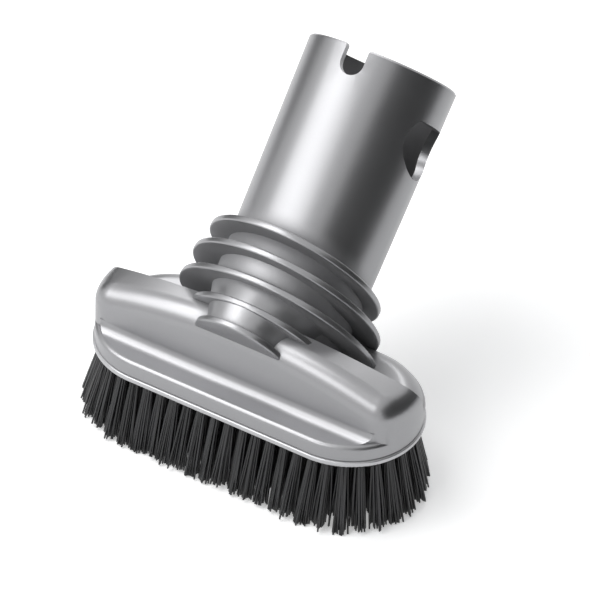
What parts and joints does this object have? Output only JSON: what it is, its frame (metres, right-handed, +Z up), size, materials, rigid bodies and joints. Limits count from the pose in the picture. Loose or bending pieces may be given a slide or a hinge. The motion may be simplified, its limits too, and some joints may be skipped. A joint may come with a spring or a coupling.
{
  "type": "vacuum dusting brush",
  "caption": "Vacuum cleaner dusting brush: leaning hollow tube with a catch window, finned neck, stadium-shaped body and a ring of black bristle tufts round a suction slot.",
  "frame": {"origin": "middle of the plane of the bristle tips, on which the brush stands", "axes": "+X along the brush, +Y to the back, where the tube leans, +Z up"},
  "size_m": [0.085, 0.0817, 0.0854],
  "materials": {
    "housing": "satin, moulded with metallic pigment",
    "plate": "satin, moulded with metallic pigment",
    "bristle": "drawn nylon filament"
  },
  "bodies": {
    "root": {"housing": "housing", "brush_plate": "plate", "bristles_outer_front": "bristle", "bristles_outer_back": "bristle", "bristles_outer_left_front": "bristle", "bristles_outer_left": "bristle", "bristles_outer_left_back": "bristle", "bristles_outer_right_front": "bristle", "bristles_outer_right": "bristle", "bristles_outer_right_back": "bristle", "bristles_inner_front": "bristle", "bristles_inner_back": "bristle", "bristles_inner_left_front": "bristle", "bristles_inner_left": "bristle", "bristles_inner_left_back": "bristle", "bristles_inner_right_front": "bristle", "bristles_inner_right": "bristle", "bristles_inner_right_back": "bristle"}
  },
  "joints": []
}
